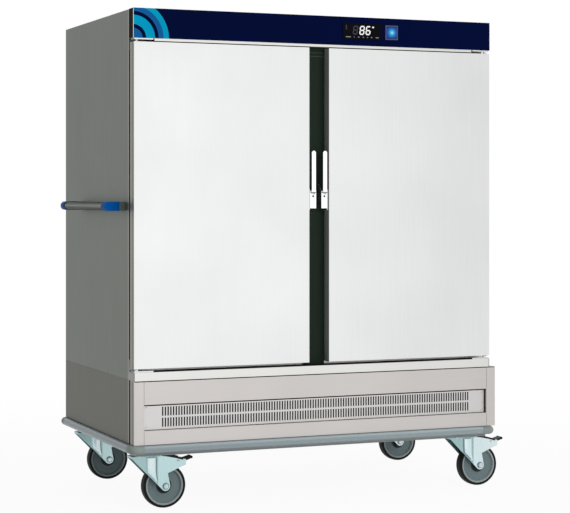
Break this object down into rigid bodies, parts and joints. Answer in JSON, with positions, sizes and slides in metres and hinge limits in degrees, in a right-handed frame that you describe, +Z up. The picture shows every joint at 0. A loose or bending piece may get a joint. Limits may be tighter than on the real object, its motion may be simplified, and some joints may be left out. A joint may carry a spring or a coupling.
{
  "type": "proofing cabinet",
  "caption": "Two-door stainless proofing cabinet on swivel casters, with a control fascia, lever latches, louvred machine base, bumper and side push handle.",
  "frame": {"origin": "middle of the whole footprint, on the floor that the wheels stand on", "axes": "+X to the right seen from the front, +Y from the doors to the back, +Z up"},
  "size_m": [1.6044, 0.93, 1.78],
  "materials": {
    "casing_steel": "satin ground stainless sheet",
    "front_steel": "satin ground stainless sheet",
    "louvre_steel": "punched stainless sheet",
    "inner_steel": "smooth stainless sheet",
    "frame_zinc": "grey coated tube",
    "bumper_grey": "grey extruded bumper profile",
    "bumper_corner_grey": "moulded grey plastic",
    "foam": "rigid foam",
    "door_inner": "foamed door core behind a thin stainless back sheet",
    "seal_black": "soft hollow seal",
    "post_black": "dark moulded plastic",
    "fascia_navy": "printed front film",
    "display_glass": "smoked display window",
    "switch_grey": "moulded grey frame",
    "switch_glow": "lit translucent rocker",
    "motor_grey": "coated motor housing",
    "fan_metal": "folded sheet wheel",
    "heater_sheath": "heat-tinted sheath",
    "hinge_zinc": "ground steel plate",
    "bush_grey": "moulded bearing bush",
    "latch_chrome": "polished chrome",
    "handle_steel": "ground tube",
    "handle_blue": "moulded blue plastic",
    "caster_zinc": "blue passivated zinc on pressed steel",
    "wheel_grey": "moulded grey wheel centre",
    "tyre_black": "solid rubber tyre",
    "pedal_black": "moulded black pedal"
  },
  "bodies": {
    "cabinet": {"chassis_frame": "frame_zinc", "bumper_rails": "bumper_grey", "bumper_corners": "bumper_corner_grey", "base_front_frame": "front_steel", "louvre_panel": "louvre_steel", "base_side_left": "casing_steel", "base_side_right": "casing_steel", "base_tray": "casing_steel", "cabinet_floor": "front_steel", "side_panel_left": "casing_steel", "side_panel_right": "casing_steel", "back_panel": "casing_steel", "roof_panel": "casing_steel", "insulation_slabs": "foam", "inner_liner": "inner_steel", "centre_duct": "inner_steel", "centre_post": "post_black", "fascia_housing": "front_steel", "fascia_panel": "fascia_navy", "display_window": "display_glass", "switch_frame": "switch_grey", "power_inlet": "post_black", "tray_racks": "inner_steel", "fan_motor": "motor_grey", "heating_rod": "heater_sheath", "water_tray": "inner_steel", "hinge_brackets": "hinge_zinc", "hinge_pins": "hinge_zinc", "latch_strikes": "hinge_zinc", "handle_tube": "handle_steel", "handle_brackets": "handle_blue", "caster_plates": "caster_zinc"},
    "door_left": {"door_left_skin": "front_steel", "door_left_core": "door_inner", "door_left_seal": "seal_black", "door_left_bushes": "bush_grey", "latch_left_body": "latch_chrome"},
    "door_right": {"door_right_skin": "front_steel", "door_right_core": "door_inner", "door_right_seal": "seal_black", "door_right_bushes": "bush_grey", "latch_right_body": "latch_chrome"},
    "lever_left": {"latch_left_lever": "latch_chrome"},
    "lever_right": {"latch_right_lever": "latch_chrome"},
    "rocker": {"rocker_switch": "switch_glow"},
    "fan": {"fan_wheel": "fan_metal"},
    "swivel_front_left": {"fork_front_left": "caster_zinc"},
    "roller_front_left": {"wheel_front_left": "wheel_grey", "tyre_front_left": "tyre_black"},
    "brake_front_left": {"pedal_front_left": "pedal_black"},
    "swivel_front_right": {"fork_front_right": "caster_zinc"},
    "roller_front_right": {"wheel_front_right": "wheel_grey", "tyre_front_right": "tyre_black"},
    "brake_front_right": {"pedal_front_right": "pedal_black"},
    "swivel_rear_left": {"fork_rear_left": "caster_zinc"},
    "roller_rear_left": {"wheel_rear_left": "wheel_grey", "tyre_rear_left": "tyre_black"},
    "swivel_rear_right": {"fork_rear_right": "caster_zinc"},
    "roller_rear_right": {"wheel_rear_right": "wheel_grey", "tyre_rear_right": "tyre_black"}
  },
  "joints": [
    {"name": "door_left_hinge", "type": "hinge", "parent": "cabinet", "child": "door_left", "pos_m": [-0.70975, -0.431, 1.0855], "axis": [0, 0, -1], "range_deg": [0, 115]},
    {"name": "door_right_hinge", "type": "hinge", "parent": "cabinet", "child": "door_right", "pos_m": [0.68225, -0.431, 1.0855], "axis": [0, 0, 1], "range_deg": [0, 115]},
    {"name": "lever_left_turn", "type": "hinge", "parent": "door_left", "child": "lever_left", "pos_m": [-0.03625, -0.437, 1.132], "axis": [1, 0, 0], "range_deg": [0, 60], "stiffness_Nm_per_rad": 0.5, "springref_deg": -20.05},
    {"name": "lever_right_turn", "type": "hinge", "parent": "door_right", "child": "lever_right", "pos_m": [0.00875, -0.437, 1.132], "axis": [1, 0, 0], "range_deg": [0, 60], "stiffness_Nm_per_rad": 0.5, "springref_deg": -20.05},
    {"name": "rocker_tilt", "type": "hinge", "parent": "cabinet", "child": "rocker", "pos_m": [0.28025, -0.441, 1.727], "axis": [1, 0, 0], "range_deg": [0, 8]},
    {"name": "fan_spin", "type": "hinge", "parent": "cabinet", "child": "fan", "pos_m": [-0.01375, 0, 0.38], "axis": [0, 0, 1], "continuous": true},
    {"name": "swivel_front_left_turn", "type": "hinge", "parent": "cabinet", "child": "swivel_front_left", "pos_m": [-0.64375, -0.345, 0.2], "axis": [0, 0, 1], "continuous": true},
    {"name": "wheel_front_left_roll", "type": "hinge", "parent": "swivel_front_left", "child": "roller_front_left", "pos_m": [-0.58275, -0.345, 0.08], "axis": [0, 1, 0], "continuous": true},
    {"name": "brake_front_left_press", "type": "hinge", "parent": "swivel_front_left", "child": "brake_front_left", "pos_m": [-0.53575, -0.345, 0.168], "axis": [0, 1, 0], "range_deg": [0, 10]},
    {"name": "swivel_front_right_turn", "type": "hinge", "parent": "cabinet", "child": "swivel_front_right", "pos_m": [0.63425, -0.345, 0.2], "axis": [0, 0, 1], "continuous": true},
    {"name": "wheel_front_right_roll", "type": "hinge", "parent": "swivel_front_right", "child": "roller_front_right", "pos_m": [0.69525, -0.345, 0.08], "axis": [0, 1, 0], "continuous": true},
    {"name": "brake_front_right_press", "type": "hinge", "parent": "swivel_front_right", "child": "brake_front_right", "pos_m": [0.74225, -0.345, 0.168], "axis": [0, 1, 0], "range_deg": [0, 10]},
    {"name": "swivel_rear_left_turn", "type": "hinge", "parent": "cabinet", "child": "swivel_rear_left", "pos_m": [-0.64375, 0.345, 0.2], "axis": [0, 0, 1], "continuous": true},
    {"name": "wheel_rear_left_roll", "type": "hinge", "parent": "swivel_rear_left", "child": "roller_rear_left", "pos_m": [-0.58275, 0.345, 0.08], "axis": [0, 1, 0], "continuous": true},
    {"name": "swivel_rear_right_turn", "type": "hinge", "parent": "cabinet", "child": "swivel_rear_right", "pos_m": [0.63425, 0.345, 0.2], "axis": [0, 0, 1], "continuous": true},
    {"name": "wheel_rear_right_roll", "type": "hinge", "parent": "swivel_rear_right", "child": "roller_rear_right", "pos_m": [0.69525, 0.345, 0.08], "axis": [0, 1, 0], "continuous": true}
  ]
}
